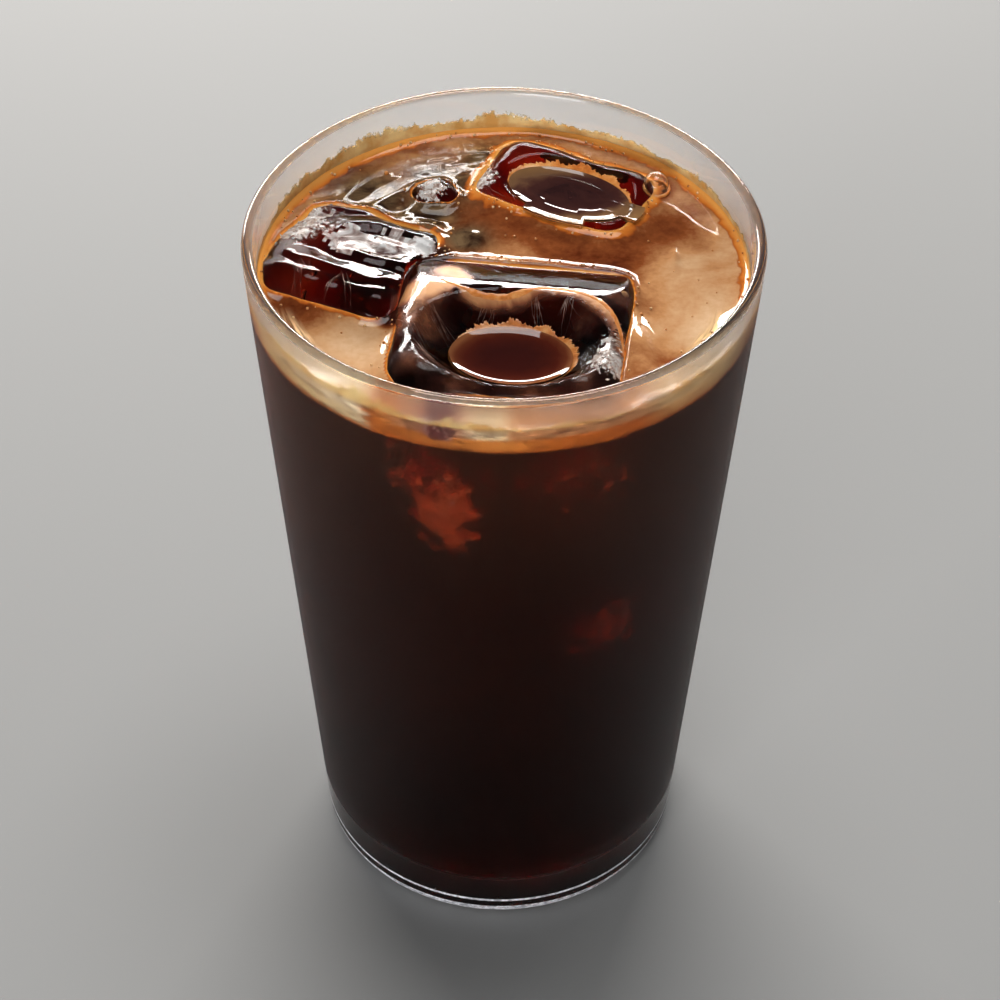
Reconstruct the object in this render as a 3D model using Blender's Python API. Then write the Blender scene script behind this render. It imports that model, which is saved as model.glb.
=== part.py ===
"""Iced americano in a tall clear glass, with three ice cubes and a chip of ice in its crema.

Metres, +Z up. The origin is at the centre of the glass's foot, on the surface it stands on.
"""

import math

import bmesh
import bpy
from mathutils import Euler, Matrix, Vector

# The glass
GLASS_HEIGHT = 0.129
RIM_RADIUS = 0.041
FOOT_RADIUS = 0.032
HEEL_RADIUS = 0.004
WALL = 0.0018
FLOOR_HEIGHT = 0.009
FLOOR_CORNER = 0.004
PUSH_UP_HEIGHT = 0.0008
PUSH_UP_RADIUS = 0.020
REST_RING_RADIUS = 0.024
SIDES = 72

# The drink
DRINK_LEVEL = 0.121
CREMA_THICKNESS = 0.003
MENISCUS_RISE = 0.0015
MENISCUS_WIDTH = 0.0036
CLEARANCE = 0.0003
ICE_TO_WALL = 0.0010
ICE_TO_ICE = 0.0010
MELT = 0.0002

# Each block of ice: the centre of its top face, its width, depth and height, its turn and tilts in
# degrees, the radius of its rounded edges, how much its back edge is lifted, how much narrower it is
# at the bottom, as a share, its hollow, as the hollow's middle from the middle of the top, its half
# width, half depth and depth, its fall, as where the brim starts to slope down to the back of the
# block and by how many degrees, and the block that it lies beside and is worn to fit.
ICE_BLOCKS = {
    "ice_front": {
        "top": (0.0014, -0.0145, 0.1245), "size": (0.0395, 0.0365, 0.0340), "turn": -7.0,
        "tilt": (0.0, 0.0), "edge": 0.0078, "lift": 0.0, "draft": 0.10, "cuts": 9,
        "hollow": (0.0004, -0.0048, 0.0160, 0.0115, 0.0072), "fall": (0.0070, 17.0),
        "beside": None,
    },
    "ice_left": {
        "top": (-0.0241, 0.0037, 0.1232), "size": (0.0274, 0.0282, 0.0290), "turn": -22.0,
        "tilt": (0.0, 0.0), "edge": 0.0056, "lift": -0.0015, "draft": 0.05, "cuts": 9,
        "hollow": None, "fall": None, "beside": "ice_front",
    },
    "ice_back": {
        "top": (0.0094, 0.0222, 0.1233), "size": (0.0305, 0.0200, 0.0300), "turn": -27.0,
        "tilt": (0.0, 0.0), "edge": 0.0058, "lift": 0.0010, "draft": 0.05, "cuts": 8,
        "hollow": (0.0020, -0.0014, 0.0124, 0.0072, 0.0046), "fall": None, "beside": None,
    },
    "ice_chip": {
        "top": (-0.0118, 0.0197, 0.1226), "size": (0.0085, 0.0075, 0.0090), "turn": 20.0,
        "tilt": (12.0, -10.0), "edge": 0.0030, "lift": 0.0, "draft": 0.05, "cuts": 5,
        "hollow": None, "fall": None, "beside": None,
    },
}

# The drink that lies in a block's hollow: its level below the hollow's brim
POOLS = {"pool_front": ("ice_front", 0.0047), "pool_back": ("ice_back", 0.0014)}
POOL_GAP = 0.0006
POOL_SIDES = 32
POOL_RINGS = 4


def clear_scene():
    """Remove what a new file starts with."""
    for old in list(bpy.data.objects):
        bpy.data.objects.remove(old, do_unlink=True)


def outer_radius(z):
    """Outer radius of the glass's straight, slightly flared side at a height."""
    share = (z - HEEL_RADIUS) / (GLASS_HEIGHT - HEEL_RADIUS)
    return FOOT_RADIUS + (RIM_RADIUS - FOOT_RADIUS) * share


def inner_radius(z):
    """Inner radius of the side at a height."""
    return outer_radius(z) - WALL


def arc(centre, radius, start, stop, steps):
    """Points of an arc in the (radius, height) plane, from one angle to another in degrees."""
    points = []
    for i in range(steps + 1):
        angle = math.radians(start + (stop - start) * i / steps)
        points.append((centre[0] + radius * math.cos(angle), centre[1] + radius * math.sin(angle)))
    return points


def make_material(name, colour, roughness, transmission=0.0, ior=1.45):
    """A plain Principled material."""
    material = bpy.data.materials.new(name)
    material.use_nodes = True
    shader = material.node_tree.nodes["Principled BSDF"]
    shader.inputs["Base Color"].default_value = (*colour, 1.0)
    shader.inputs["Roughness"].default_value = roughness
    shader.inputs["Metallic"].default_value = 0.0
    shader.inputs["Transmission Weight"].default_value = transmission
    shader.inputs["IOR"].default_value = ior
    return material


def add_object(name, bm, material, smooth_angle=35.0):
    """Turn a bmesh into an object of its own, shaded smooth except at its sharp edges."""
    bmesh.ops.recalc_face_normals(bm, faces=bm.faces[:])
    mesh = bpy.data.meshes.new(name)
    bm.to_mesh(mesh)
    bm.free()
    mesh.shade_smooth()
    mesh.set_sharp_from_angle(angle=math.radians(smooth_angle))
    mesh.materials.append(material)
    obj = bpy.data.objects.new(name, mesh)
    bpy.context.scene.collection.objects.link(obj)
    return obj


def turned_mesh(profile):
    """Spin a profile, whose first and last points are on the axis, into a closed body."""
    bm = bmesh.new()
    verts = [bm.verts.new((r, 0.0, z)) for r, z in profile]
    for a, b in zip(verts, verts[1:]):
        bm.edges.new((a, b))
    bmesh.ops.spin(
        bm, geom=bm.verts[:] + bm.edges[:], cent=(0, 0, 0), axis=(0, 0, 1),
        angle=2 * math.pi, steps=SIDES, use_merge=True)
    bmesh.ops.remove_doubles(bm, verts=bm.verts[:], dist=1e-6)
    return bm


def build_glass():
    """The glass: a thick floor with a shallow push-up, a round heel, a straight side and a round lip."""
    lip = WALL / 2
    lip_z = GLASS_HEIGHT - lip
    profile = [(0.0, PUSH_UP_HEIGHT), (PUSH_UP_RADIUS, PUSH_UP_HEIGHT), (REST_RING_RADIUS, 0.0)]
    profile += arc((FOOT_RADIUS - HEEL_RADIUS, HEEL_RADIUS), HEEL_RADIUS, -90, 0, 5)
    profile += arc((outer_radius(lip_z) - lip, lip_z), lip, 0, 180, 6)
    corner_z = FLOOR_HEIGHT + FLOOR_CORNER
    profile += arc((inner_radius(corner_z) - FLOOR_CORNER, corner_z), FLOOR_CORNER, 0, -90, 5)
    profile.append((0.0, FLOOR_HEIGHT))
    colour = (0.95, 0.97, 0.97)
    add_object("glass", turned_mesh(profile), make_material("clear_glass", colour, 0.02, 1.0, 1.5))


def build_coffee(cutters):
    """The dark drink, from the floor of the glass up to the crema, cut round the ice."""
    top = DRINK_LEVEL - CREMA_THICKNESS - CLEARANCE
    floor = FLOOR_HEIGHT + CLEARANCE
    corner = FLOOR_CORNER - CLEARANCE
    corner_z = floor + corner
    profile = [(0.0, floor)]
    profile += arc((inner_radius(corner_z) - CLEARANCE - corner, corner_z), corner, -90, 0, 4)
    profile += [(inner_radius(top) - CLEARANCE, top), (0.0, top)]
    colour = (0.045, 0.010, 0.005)
    coffee = add_object("coffee", turned_mesh(profile), make_material("coffee", colour, 0.1))
    cut_round(coffee, cutters)


def build_crema(cutters):
    """The pale crema that floats on the drink and climbs the wall in a small meniscus."""
    bottom = DRINK_LEVEL - CREMA_THICKNESS
    brim = DRINK_LEVEL + MENISCUS_RISE
    wall = inner_radius(brim) - CLEARANCE
    profile = [(0.0, bottom), (inner_radius(bottom) - CLEARANCE, bottom), (wall, brim)]
    for i in range(1, 5):
        share = i / 4
        profile.append((wall - MENISCUS_WIDTH * share, DRINK_LEVEL + MENISCUS_RISE * (1 - share) ** 3))
    profile.append((0.0, DRINK_LEVEL))
    colour = (0.52, 0.27, 0.11)
    crema = add_object("crema", turned_mesh(profile), make_material("crema", colour, 0.25))
    cut_round(crema, cutters)


def melted(point, half, edge, draft):
    """Move a point of a plain box to the box with rounded edges, slightly uneven as melting ice is."""
    core = Vector([max(edge - h, min(h - edge, c)) for c, h in zip(point, half)])
    out = (point - core).normalized()
    x, y, z = point / max(half)
    wave = math.sin(2.1 * x + 1.3 * z + 0.6) * math.cos(1.9 * y - 0.8 * x)
    wave += 0.5 * math.sin(3.3 * z + 2.2 * y)
    moved = core + out * (edge + MELT * wave)
    width = 1.0 - draft * (half.z - point.z) / (2 * half.z)
    return Vector((moved.x * width, moved.y * width, moved.z))


def hollow_reach(x, y, hollow):
    """How far out a point is in a block's round hollow, squared: 0 in its middle, 1 at its brim."""
    mid_x, mid_y, half_x, half_y, _ = hollow
    return ((x - mid_x) / half_x) ** 2 + ((y - mid_y) / half_y) ** 2


def ice_mesh(block, grow=0.0):
    """A block of ice as a bmesh in place, or the same block grown all round as a cutter."""
    half = Vector(block["size"]) / 2
    grown = half + Vector((grow, grow, grow))
    bm = bmesh.new()
    bmesh.ops.create_cube(bm, size=2.0)
    bmesh.ops.subdivide_edges(bm, edges=bm.edges[:], cuts=block["cuts"], use_grid_fill=True)
    turn = Euler([math.radians(v) for v in (*block["tilt"], block["turn"])])
    place = Matrix.Translation(Vector(block["top"])) @ turn.to_matrix().to_4x4()
    sink = Vector((0.0, 0.0, half.z))
    for vert in bm.verts:
        plain = Vector(c * h for c, h in zip(vert.co, grown))
        moved = melted(plain, grown, block["edge"] + grow, block["draft"])
        lift = block["lift"] * max(0.0, moved.z / half.z) * moved.y / half.y
        if block["hollow"] and not grow and vert.co.z > 0.99:
            reach = hollow_reach(moved.x, moved.y, block["hollow"])
            lift *= max(0.0, min(1.0, (reach - 0.6) / 0.4))
            if reach < 1.0:
                moved.z = min(moved.z, half.z - block["hollow"][4] * (1.0 - reach))
        if block["fall"] and not grow and vert.co.z > 0.99:
            crest, slope = block["fall"]
            moved.z = min(moved.z, half.z - math.tan(math.radians(slope)) * max(0.0, moved.y - crest))
        moved.z += lift
        vert.co = clear_of(block["beside"], place @ (moved - sink), grow)
        vert.co = within_glass(vert.co, grow)
    return bm


def clear_of(name, point, grow):
    """Keep a point off the side of another block: two blocks that lie together are worn to fit."""
    if not name:
        return point
    other = ICE_BLOCKS[name]
    turn = Matrix.Rotation(math.radians(other["turn"]), 4, "Z")
    foot = Vector((other["top"][0], other["top"][1], point.z))
    spot = turn.inverted() @ (point - foot)
    edge = other["edge"]
    core = Vector([max(edge - h, min(h - edge, c)) for c, h in zip(spot.xy, Vector(other["size"]) / 2)])
    out = spot.xy - core
    room = edge + ICE_TO_ICE - grow
    if 0.0 < out.length < room:
        spot.xy = core + out.normalized() * room
    return foot + turn @ spot


def within_glass(point, grow):
    """Keep a point of the ice off the wall: where a block lies against the glass it is worn to fit."""
    limit = inner_radius(point.z) - ICE_TO_WALL + grow
    reach = math.hypot(point.x, point.y)
    if reach > limit:
        point.x *= limit / reach
        point.y *= limit / reach
    return point


def build_ice(name, block):
    """One block of clear ice."""
    ice = make_material(name, (0.93, 0.95, 0.96), 0.04, 1.0, 1.31)
    add_object(name, ice_mesh(block), ice)


def ice_cutter(name, block):
    """The room that a block of ice takes in the drink, with a thin gap all round."""
    bm = ice_mesh(block, CLEARANCE)
    bmesh.ops.recalc_face_normals(bm, faces=bm.faces[:])
    mesh = bpy.data.meshes.new(name + "_room")
    bm.to_mesh(mesh)
    bm.free()
    cutter = bpy.data.objects.new(name + "_room", mesh)
    bpy.context.scene.collection.objects.link(cutter)
    cutter.hide_render = True
    cutter.display_type = "WIRE"
    return cutter


def cut_round(obj, cutters):
    """Cut the room for each block of ice out of the drink or the crema."""
    for cutter in cutters:
        cut = obj.modifiers.new(cutter.name, "BOOLEAN")
        cut.operation = "DIFFERENCE"
        cut.solver = "EXACT"
        cut.object = cutter


def build_pool(name, block, drop):
    """Drink lying in a block's hollow: a level top over a bowl that follows the hollow."""
    mid_x, mid_y, half_x, half_y, depth = block["hollow"]
    level = -drop
    deepest = -depth + POOL_GAP
    reach = math.sqrt((level - deepest) / depth)
    turn = Matrix.Rotation(math.radians(block["turn"]), 4, "Z")
    place = Matrix.Translation(Vector(block["top"])) @ turn
    bm = bmesh.new()
    rings = []
    for side, share in [(0, i / POOL_RINGS) for i in range(1, POOL_RINGS + 1)] + [(1, 0.55)]:
        ring = []
        for k in range(POOL_SIDES):
            angle = 2 * math.pi * k / POOL_SIDES
            x = mid_x + half_x * reach * share * math.cos(angle)
            y = mid_y + half_y * reach * share * math.sin(angle)
            z = level if side else deepest + (level - deepest) * share ** 2
            ring.append(bm.verts.new(place @ Vector((x, y, z))))
        rings.append(ring)
    for low, high in zip(rings, rings[1:]):
        for k in range(POOL_SIDES):
            n = (k + 1) % POOL_SIDES
            bm.faces.new((low[k], low[n], high[n], high[k]))
    for ring, z in ((rings[0], deepest), (rings[-1], level)):
        middle = bm.verts.new(place @ Vector((mid_x, mid_y, z)))
        for k in range(POOL_SIDES):
            bm.faces.new((ring[k], ring[(k + 1) % POOL_SIDES], middle))
    add_object(name, bm, make_material(name, (0.06, 0.015, 0.008), 0.08))


def main():
    clear_scene()
    build_glass()
    cutters = [ice_cutter(name, block) for name, block in ICE_BLOCKS.items()]
    build_coffee(cutters)
    build_crema(cutters)
    for name, block in ICE_BLOCKS.items():
        build_ice(name, block)
    for name, (ice, drop) in POOLS.items():
        build_pool(name, ICE_BLOCKS[ice], drop)


main()
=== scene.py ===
import random
from math import atan2, cos, degrees, exp, floor, hypot, pi, radians, sin, sqrt, tan, tanh

import bmesh
import bpy
from mathutils import Euler, Matrix, Vector, noise
from mathutils.bvhtree import BVHTree


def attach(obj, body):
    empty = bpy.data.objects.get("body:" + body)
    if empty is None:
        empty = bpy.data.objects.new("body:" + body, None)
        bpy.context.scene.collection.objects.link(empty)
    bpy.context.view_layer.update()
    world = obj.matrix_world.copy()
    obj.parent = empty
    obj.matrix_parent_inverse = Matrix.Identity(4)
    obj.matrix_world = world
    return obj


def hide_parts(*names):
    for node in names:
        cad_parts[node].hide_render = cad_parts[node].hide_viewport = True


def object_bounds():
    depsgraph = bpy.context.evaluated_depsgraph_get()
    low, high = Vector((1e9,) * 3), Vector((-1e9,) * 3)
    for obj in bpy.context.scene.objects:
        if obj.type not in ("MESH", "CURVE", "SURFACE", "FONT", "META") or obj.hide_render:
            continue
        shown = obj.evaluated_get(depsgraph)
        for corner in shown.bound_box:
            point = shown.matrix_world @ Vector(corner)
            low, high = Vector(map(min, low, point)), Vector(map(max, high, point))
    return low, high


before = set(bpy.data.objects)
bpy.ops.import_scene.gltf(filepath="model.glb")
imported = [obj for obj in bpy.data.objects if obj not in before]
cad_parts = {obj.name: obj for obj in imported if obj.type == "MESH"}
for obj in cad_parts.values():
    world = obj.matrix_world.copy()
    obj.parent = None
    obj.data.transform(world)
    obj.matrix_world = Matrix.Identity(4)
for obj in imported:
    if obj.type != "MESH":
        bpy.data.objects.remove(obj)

# Iced americano: a turned tumbler, the drink in it, its crema, and clear ice with hollows.
# Everything is in metres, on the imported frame, and rides on the one body there is.

mm = 0.001
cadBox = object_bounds()
random.seed(7)
between = random.uniform

tumbler = {
    "height": cadBox[1].z,
    "rimRadius": cadBox[1].x + 0.05 * mm,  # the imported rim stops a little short, between its sides
    "footRadius": 32 * mm,
    "heel": 4 * mm,  # rounding between foot and side
    "wall": 1.8 * mm,
    "floor": 9 * mm,  # thickness of the clear base
    "floorCorner": 4 * mm,
    "pushUp": (20 * mm, 24 * mm, 0.8 * mm),  # hollow under the foot: flat to, ring from, depth
    "steps": 180,
    "whiteBands": [(0, 3.7 * mm), (5 * mm, 5.6 * mm)],  # heights where the outside is white: partly wear at the foot, partly painted highlights on the heel
    "glint": (9.5 * mm, 10.1 * mm),  # heights of the bright line under the drink
}

drink = {
    "level": 121 * mm,
    "crema": 3 * mm,
    "reach": 0.15 * mm,  # how far the drink reaches into the glass, so that no air shows
    "meniscus": 1.5 * mm,  # rise of the crema at the wall
    "iceMeniscus": 0.8 * mm,  # and round the ice
}

# Where a block's top middle is, its size, turn and tilts in degrees, and its hollow: the hollow's
# middle from the top's middle, half width, half depth and depth. A fall is where the rim behind the
# hollow starts to drop and its angle, a swirl the middle of melted rings, their spread, height and wave.
plainIce = {"tilt": (0, 0), "lift": 0.0, "draft": 0.05, "hollow": None}
iceBlocks = {
    "ice_front": {
        **plainIce, "top": (1.4, -14.5, 124.5), "size": (39.5, 36.5, 34.0), "turn": -7, "edge": 7.8,
        "draft": 0.10, "hollow": (0.4, -4.8, 16.0, 11.5, 7.2), "fall": (7.0, 19),
        "cracks": 16, "bubbles": 26, "frost": [((16.5, -23, 123), 4.6)],
    },
    "ice_left": {
        **plainIce, "top": (-24.1, 3.7, 123.2), "size": (27.4, 28.2, 29.0), "turn": -22, "edge": 5.6,
        "lift": -1.5, "beside": "ice_front",
        "cracks": 7, "bubbles": 16, "frost": [((-34, 12.5, 122), 7.0)],
        # white marbled patches on the top: painted reflections of the light
        "paintedGlare": [((-24.5, 5.5, 123), 4.6), ((-18, 4.5, 123), 4.6), ((-13.5, 5, 122.6), 2.8)],
        "swirl": (-18.5, 5, 15, 0.42, 5.0),
    },
    "ice_back": {
        **plainIce, "top": (9.4, 22.2, 123.3), "size": (30.5, 20.0, 30.0), "turn": -27, "edge": 5.8,
        "lift": 1.0, "hollow": (2.0, -1.4, 12.4, 7.2, 4.6),
        "cracks": 6, "bubbles": 22, "frost": [((-4.5, 24, 122), 3.4)],
    },
    "ice_chip": {
        **plainIce, "top": (-11.8, 19.7, 122.6), "size": (8.5, 7.5, 9.0), "turn": 20, "edge": 3.0,
        "tilt": (12, -10),
        "cracks": 2, "bubbles": 3, "frost": [((-12.0, 20.2, 122.5), 2.4)],
    },
}

# The block that is wholly sunk in the drink and glows through it
sunkIce = {
    "iceSunk": {**plainIce, "top": (13, -16, 83), "size": (24, 24, 24), "turn": 20, "edge": 5,
                "tilt": (8, -6), "draft": 0.0},
}


def clamp(value):
    return max(0.0, min(1.0, value))


def reachOf(point):
    # how far a point is from the glass's axis
    return hypot(point.x, point.y)


def keepIn(point, limit):
    # draws a point in where it lies further from the axis than the limit
    reach = reachOf(point)
    if reach > limit:
        point.x *= limit / reach
        point.y *= limit / reach


def noiseOf(x, y, z):
    return noise.noise(Vector((x, y, z)))


def uneven(at, *waves):
    # noise as a sum of waves, each given by its height and length
    return sum(high * noise.noise(at / long) for high, long in waves)


def srgb(r, g, b):
    # screen colour from 0 to 255, as the linear colour that a shader takes
    def straight(c):
        c /= 255
        return c / 12.92 if c <= 0.04045 else ((c + 0.055) / 1.055) ** 2.4
    return (straight(r), straight(g), straight(b), 1.0)


def newMaterial(name, settings):
    mat = bpy.data.materials.new(name)
    mat.use_nodes = True
    shader = mat.node_tree.nodes["Principled BSDF"]
    for key, value in settings.items():
        shader.inputs[key].default_value = value
    return mat


def addNode(mat, kind, values=None, **settings):
    node = mat.node_tree.nodes.new(kind)
    for key, value in settings.items():
        setattr(node, key, value)
    for key, value in (values or {}).items():
        node.inputs[key].default_value = value
    return node


def wire(mat, out, into):
    mat.node_tree.links.new(out, into)


def setOrWire(mat, value, socket):
    if isinstance(value, (int, float, tuple)):
        socket.default_value = value
    else:
        wire(mat, value, socket)


def axes(mat):
    # the place on the object, as separate X, Y and Z
    parts = addNode(mat, "ShaderNodeSeparateXYZ")
    wire(mat, addNode(mat, "ShaderNodeTexCoord").outputs["Object"], parts.inputs[0])
    return parts.outputs


def ramp(mat, source, stops):
    # a stop's colour is a screen colour of three numbers or a linear one of four
    node = addNode(mat, "ShaderNodeValToRGB")
    marks = node.color_ramp.elements
    while len(marks) < len(stops):
        marks.new(0.5)
    for mark, (place, colour) in zip(marks, stops):
        mark.position = place
        mark.color = srgb(*colour) if len(colour) == 3 else colour
    wire(mat, source, node.inputs["Fac"])
    return node.outputs["Color"]


def mixColours(mat, share, first, second, blend="MIX"):
    node = addNode(mat, "ShaderNodeMix", data_type="RGBA", blend_type=blend)
    for value, name in ((share, "Factor"), (first, "A"), (second, "B")):
        socket = next(s for s in node.inputs if s.name == name and s.enabled)
        setOrWire(mat, value, socket)
    return next(s for s in node.outputs if s.enabled)


def noiseAt(mat, scale, detail=3.0, rough=0.5, distortion=0.0, stretch=(1, 1, 1)):
    place = addNode(mat, "ShaderNodeTexCoord").outputs["Object"]
    if stretch != (1, 1, 1):
        mapping = addNode(mat, "ShaderNodeMapping", {"Scale": stretch})
        wire(mat, place, mapping.inputs["Vector"])
        place = mapping.outputs["Vector"]
    node = addNode(mat, "ShaderNodeTexNoise", {
        "Scale": scale, "Detail": detail, "Roughness": rough, "Distortion": distortion})
    wire(mat, place, node.inputs["Vector"])
    return node.outputs["Fac"]


def attribute(mat, name):
    return addNode(mat, "ShaderNodeAttribute", attribute_name=name).outputs["Fac"]


def maths(mat, operation, first, second):
    node = addNode(mat, "ShaderNodeMath", operation=operation)
    setOrWire(mat, first, node.inputs[0])
    setOrWire(mat, second, node.inputs[1])
    return node.outputs[0]


def bump(mat, height, strength, distance, into=None):
    node = addNode(mat, "ShaderNodeBump", {"Strength": strength, "Distance": distance})
    wire(mat, height, node.inputs["Height"])
    if into:
        wire(mat, into, node.inputs["Normal"])
    return node.outputs["Normal"]


def plus(mat, first, second):
    return maths(mat, "ADD", first, second)


def times(mat, first, second):
    return maths(mat, "MULTIPLY", first, second)


def swing(mat, amount, source):
    # a noise about its middle, times an amount
    return times(mat, maths(mat, "SUBTRACT", source, 0.5), amount)


def fade(mat, source, low, high):
    # from black to white between two values
    return ramp(mat, source, [(low, (0, 0, 0)), (high, (255, 255, 255))])


def feed(mat, socket, out):
    wire(mat, out, mat.node_tree.nodes["Principled BSDF"].inputs[socket])


def tint(mat, source, stops):
    feed(mat, "Base Color", ramp(mat, source, stops))


def roughen(mat, source, strength, distance, into=None):
    feed(mat, "Normal", bump(mat, source, strength, distance * mm, into))


def clearMaterial(name, ior, gloss=1.0):
    # gloss tints what its surface reflects
    return newMaterial(name, {"Base Color": (1, 1, 1, 1), "Transmission Weight": 1.0, "IOR": ior,
                              "Specular Tint": (gloss, gloss, gloss, 1)})


def addBall(bm, place, level, size=1, inward=False):
    made = bmesh.ops.create_icosphere(bm, subdivisions=level, radius=size, matrix=place)
    if inward:
        bmesh.ops.reverse_faces(bm, faces=list({f for v in made["verts"] for f in v.link_faces}))


def anyTurn():
    return Euler([between(0, 3.1) for k in range(3)]).to_matrix().to_4x4()


def addValues(piece, label, numbers):
    piece.data.attributes.new(label, "FLOAT", "POINT").data.foreach_set("value", numbers)


def newObject(name, bm):
    mesh = bpy.data.meshes.new(name)
    bm.to_mesh(mesh)
    bm.free()
    made = bpy.data.objects.new(name, mesh)
    bpy.context.scene.collection.objects.link(made)
    return made


def finishPiece(name, bm, mat, replaced=(), sharp=40):
    piece = newObject(name, bm)
    piece.data.shade_smooth()
    piece.data.set_sharp_from_angle(angle=radians(sharp))
    piece.data.materials.append(mat)
    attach(piece, "root")
    if replaced:
        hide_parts(*replaced)
    return piece


def turnOutward(bm):
    bmesh.ops.recalc_face_normals(bm, faces=bm.faces[:])
    if bm.calc_volume(signed=True) < 0:
        bmesh.ops.reverse_faces(bm, faces=bm.faces[:])


def arc(middle, radius, start, stop, steps):
    # points of an arc in the plane of radius and height, from one angle to another in degrees
    turns = [radians(start + (stop - start) * i / steps) for i in range(steps + 1)]
    return [(middle[0] + radius * cos(t), middle[1] + radius * sin(t)) for t in turns]


def ringTube(wide, thick, sides, steps):
    # a tube bent to a ring, by its radii in mm
    profile = [(x * mm, y * mm) for x, y in arc((wide, 0), thick, 0, 360, sides)]
    return spun(profile, steps)


def spun(profile, steps):
    # spin a profile round the glass's axis and close it at its poles
    bm = bmesh.new()
    verts = [bm.verts.new((r, 0, z)) for r, z in profile]
    for a, b in zip(verts, verts[1:]):
        bm.edges.new((a, b))
    bmesh.ops.spin(bm, geom=bm.verts[:] + bm.edges[:], cent=(0, 0, 0), axis=(0, 0, 1),
                   angle=2 * pi, steps=steps, use_merge=True)
    bmesh.ops.remove_doubles(bm, verts=bm.verts[:], dist=0.001 * mm)
    bmesh.ops.recalc_face_normals(bm, faces=bm.faces[:])
    return bm


def outerRadius(z):
    t = tumbler
    share = (z - t["heel"]) / (t["height"] - t["heel"])
    return t["footRadius"] + (t["rimRadius"] - t["footRadius"]) * share


def innerRadius(z):
    return outerRadius(z) - tumbler["wall"]


# The tumbler

def glassMaterial():
    mat = clearMaterial("clearGlass", 1.5)
    worn = addNode(mat, "ShaderNodeMapRange", {"From Min": 0.2 * mm, "From Max": 1.4 * mm,
                                               "To Min": 0.35, "To Max": 0.0})
    wire(mat, axes(mat)["Z"], worn.inputs["Value"])
    scuffs = fade(mat, noiseAt(mat, 900, 4), 0.4, 0.65)
    feed(mat, "Roughness", times(mat, worn.outputs[0], scuffs))
    roughen(mat, noiseAt(mat, 45, 1), 0.05, 1)
    return mat


def wallGlassMaterial(name, gloss):
    mat = clearMaterial(name, 1.5, gloss)
    roughen(mat, noiseAt(mat, 45, 1), 0.05, 1)
    return mat


def scuffAndGlintMaterial():
    # the foot's ring, white partly from wear where it stands and partly as painted highlights on the heel,
    # and the painted bright line under the drink
    mat = newMaterial("scuffAndGlintGlass", {"Transmission Weight": 0.12, "IOR": 1.5, "Roughness": 0.35})
    rubAndGlint = noiseAt(mat, 800, 4, 0.65)
    tint(mat, rubAndGlint, [(0.4, (170, 170, 176)), (0.6, (250, 250, 255))])
    roughen(mat, rubAndGlint, 0.6, 0.3)
    return mat


def glassSlot(middle):
    # which of the four glass materials a face takes, by where its middle lies
    t = tumbler
    reach = reachOf(middle)
    inner = reach < innerRadius(middle.z) + 0.2 * mm
    # the bright line under the drink is a painted highlight
    if inner and t["glint"][0] < middle.z < t["glint"][1]:
        return 3
    onRing = not inner and reach > t["pushUp"][1] - 1.2 * mm
    if onRing and any(low < middle.z < high for low, high in t["whiteBands"]):
        return 3
    if inner and t["floor"] - 1 * mm < middle.z < drink["level"]:
        return 1
    above = drink["level"] if inner else t["floor"]
    return 2 if above < middle.z < t["height"] - 3 * mm else 0


def makeTumbler():
    t = tumbler
    flatTo, ringFrom, rise = t["pushUp"]
    lip = t["wall"] / 2
    lipZ = t["height"] - lip
    corner = t["floorCorner"]
    cornerZ = t["floor"] + corner
    side = [(outerRadius(z), z) for z in (*t["whiteBands"][1], *[z * mm for z in range(12, 124, 8)])]
    inside = [(innerRadius(z * mm), z * mm) for z in range(124, 16, -8)]
    profile = [(0, rise), (flatTo * 0.6, rise), (flatTo, rise)]
    profile += [(ringFrom - 1 * mm, 0.15 * mm), (ringFrom, 0)]
    profile += arc((t["footRadius"] - t["heel"], t["heel"]), t["heel"], -90, 0, 14) + side
    profile += arc((outerRadius(lipZ) - lip, lipZ), lip, 0, 180, 16) + inside
    profile += arc((innerRadius(cornerZ) - corner, cornerZ), corner, 0, -90, 12)
    profile += [(innerRadius(cornerZ) * 0.45, t["floor"] - 0.1 * mm), (0, t["floor"] - 0.15 * mm)]
    bm = spun(profile, t["steps"])
    for face in bm.faces:
        face.material_index = glassSlot(face.calc_center_median())
    glass = finishPiece("glassTumbler", bm, glassMaterial(), ["glass"])
    # wetted by the drink, the glass hardly reflects, and its side mirrors little of the pale setting
    for name, gloss in (("wetGlass", 0.04), ("sideGlass", 0.05)):
        glass.data.materials.append(wallGlassMaterial(name, gloss))
    glass.data.materials.append(scuffAndGlintMaterial())


# Ice

melted = {
    "waves": [(0.42, 7), (0.14, 2.8)],  # uneven melting: heights and lengths in mm
    "shoulder": 5.2,  # how far up a block's rounded top a neighbour follows it, in mm
    "gap": 0.5,  # between neighbours, in mm
}


def smoothMax(x, soft=0.10):
    return 0.5 * (x + sqrt(x * x + soft * soft))


def clearOf(name, point, grow):
    # keeps a point off the side of the block that this one lies beside, and is worn to fit
    if not name:
        return point
    other = iceBlocks[name]
    turn = Matrix.Rotation(radians(other["turn"]), 4, "Z")
    foot = Vector((other["top"][0] * mm, other["top"][1] * mm, point.z))
    spot = turn.inverted() @ (point - foot)
    edge = other["edge"] * mm
    core = Vector([max(edge - h, min(h - edge, c)) for c, h in zip(spot.xy, Vector(other["size"]) * mm / 2)])
    out = spot.xy - core
    # the other's rounded top stands back
    rise = max(0.0, min(melted["shoulder"] * mm, point.z - other["top"][2] * mm + edge))
    room = sqrt(edge * edge - rise * rise) + melted["gap"] * mm - grow
    if 0 < out.length < room:
        spot.xy = core + out.normalized() * room
    return foot + turn @ spot


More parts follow.
